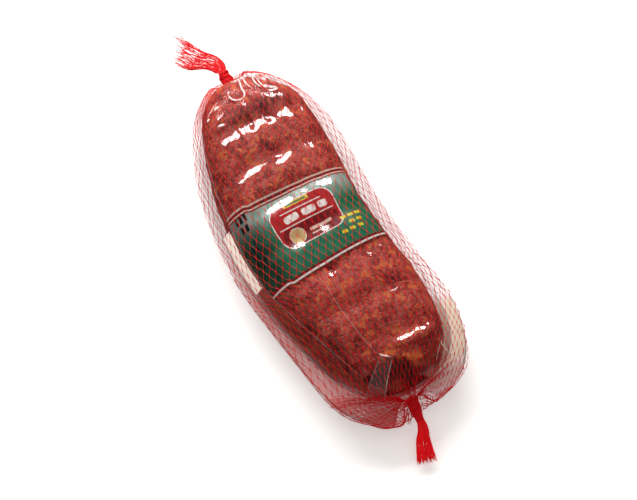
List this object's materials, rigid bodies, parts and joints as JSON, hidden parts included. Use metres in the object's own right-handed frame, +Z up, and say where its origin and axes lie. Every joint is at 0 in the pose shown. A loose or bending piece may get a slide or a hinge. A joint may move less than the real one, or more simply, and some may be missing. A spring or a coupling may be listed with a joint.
{
  "type": "spicy spianata salami in a net",
  "caption": "Flat ridged spicy salami sealed in clear film with a wrapped label, in a red tubular net knotted at both ends; food prop that lies flat.",
  "frame": {"origin": "middle of the flat face that the pack rests on", "axes": "+X along the salami towards the blunt end, +Z up, away from the table"},
  "size_m": [0.4513, 0.1547, 0.0637],
  "materials": {
    "meat": "coarse cured mince, brick red with orange-brown fat specks",
    "film": "clear glossy vacuum film",
    "label_print": "green printed band with dark red and white edge lines",
    "cream_paper": "cream coated paper",
    "net": "bright red extruded plastic net"
  },
  "bodies": {
    "root": {"netted_salami": "meat", "front_label": "label_print", "back_label": "cream_paper", "near_knot": "net", "near_tail": "net", "far_knot": "net", "far_tail": "net"}
  },
  "joints": []
}
